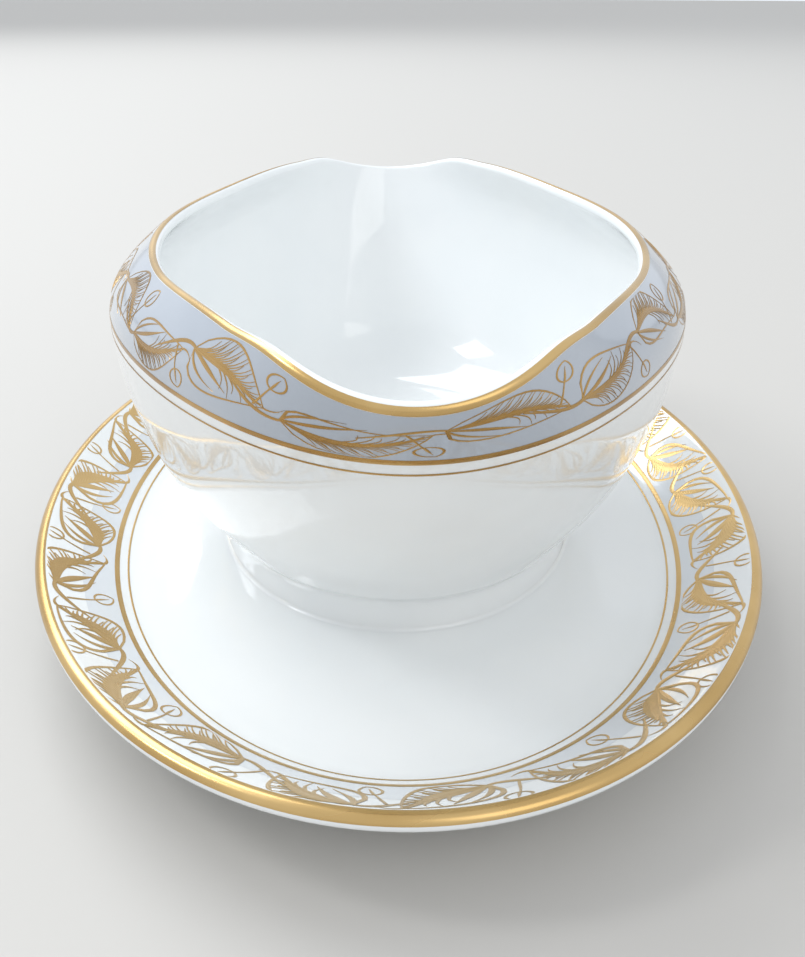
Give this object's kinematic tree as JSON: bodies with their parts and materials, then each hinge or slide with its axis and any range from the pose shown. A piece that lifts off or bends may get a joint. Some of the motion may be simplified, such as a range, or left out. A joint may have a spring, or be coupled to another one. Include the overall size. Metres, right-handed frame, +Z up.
{
  "type": "gravy boat with attached underplate",
  "caption": "Double-spouted porcelain gravy boat fixed to its oval underplate, with gilt lines, a tinted band and a gilt leaf vine on both.",
  "frame": {"origin": "on the table, under the middle of the underplate", "axes": "+Z up, +Y along the boat from the middle towards one spout, +X across the boat"},
  "size_m": [0.1636, 0.2387, 0.0796],
  "materials": {
    "porcelain": "gloss",
    "gilding": "polished",
    "band_tint": "gloss"
  },
  "bodies": {
    "root": {"boat": "porcelain", "underplate": "porcelain", "slip_seam": "porcelain", "boat_rim_line": "gilding", "boat_thick_line": "gilding", "boat_thin_line": "gilding", "boat_vine": "gilding", "boat_tint": "band_tint", "plate_edge_line": "gilding", "plate_thick_line": "gilding", "plate_thin_line": "gilding", "plate_vine": "gilding", "plate_tint": "band_tint"}
  },
  "joints": []
}
